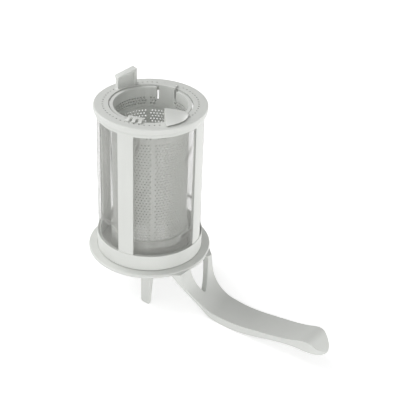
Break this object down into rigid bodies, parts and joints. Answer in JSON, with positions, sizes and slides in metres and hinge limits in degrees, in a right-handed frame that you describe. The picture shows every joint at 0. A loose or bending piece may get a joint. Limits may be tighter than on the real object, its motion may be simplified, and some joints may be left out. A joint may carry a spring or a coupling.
{
  "type": "dishwasher filter",
  "caption": "Dishwasher filter: a perforated strainer tube with flange and forked handle, inside a framed mesh sleeve with bayonet lugs that slides off the tube.",
  "frame": {"origin": "the filter's axis, in the plane of the flange's seat face", "axes": "+Z along the axis from the flange to the top ring; +X to the right in the reference view; the handle leaves at 41 degrees from +X towards -Y"},
  "size_m": [0.1688, 0.1537, 0.1596],
  "materials": {
    "strainer_plastic": "satin moulded polypropylene, light grey-white",
    "sleeve_plastic": "satin moulded polypropylene, light grey-white",
    "filter_mesh": "fine woven synthetic mesh, grey"
  },
  "bodies": {
    "strainer": {"coarse_strainer": "strainer_plastic"},
    "sleeve": {"sleeve_frame": "sleeve_plastic", "mesh_sleeve": "filter_mesh"}
  },
  "joints": [
    {"name": "sleeve_pull", "type": "slide", "parent": "strainer", "child": "sleeve", "axis": [0, 0, 1], "range_m": [0, 0.125]}
  ]
}
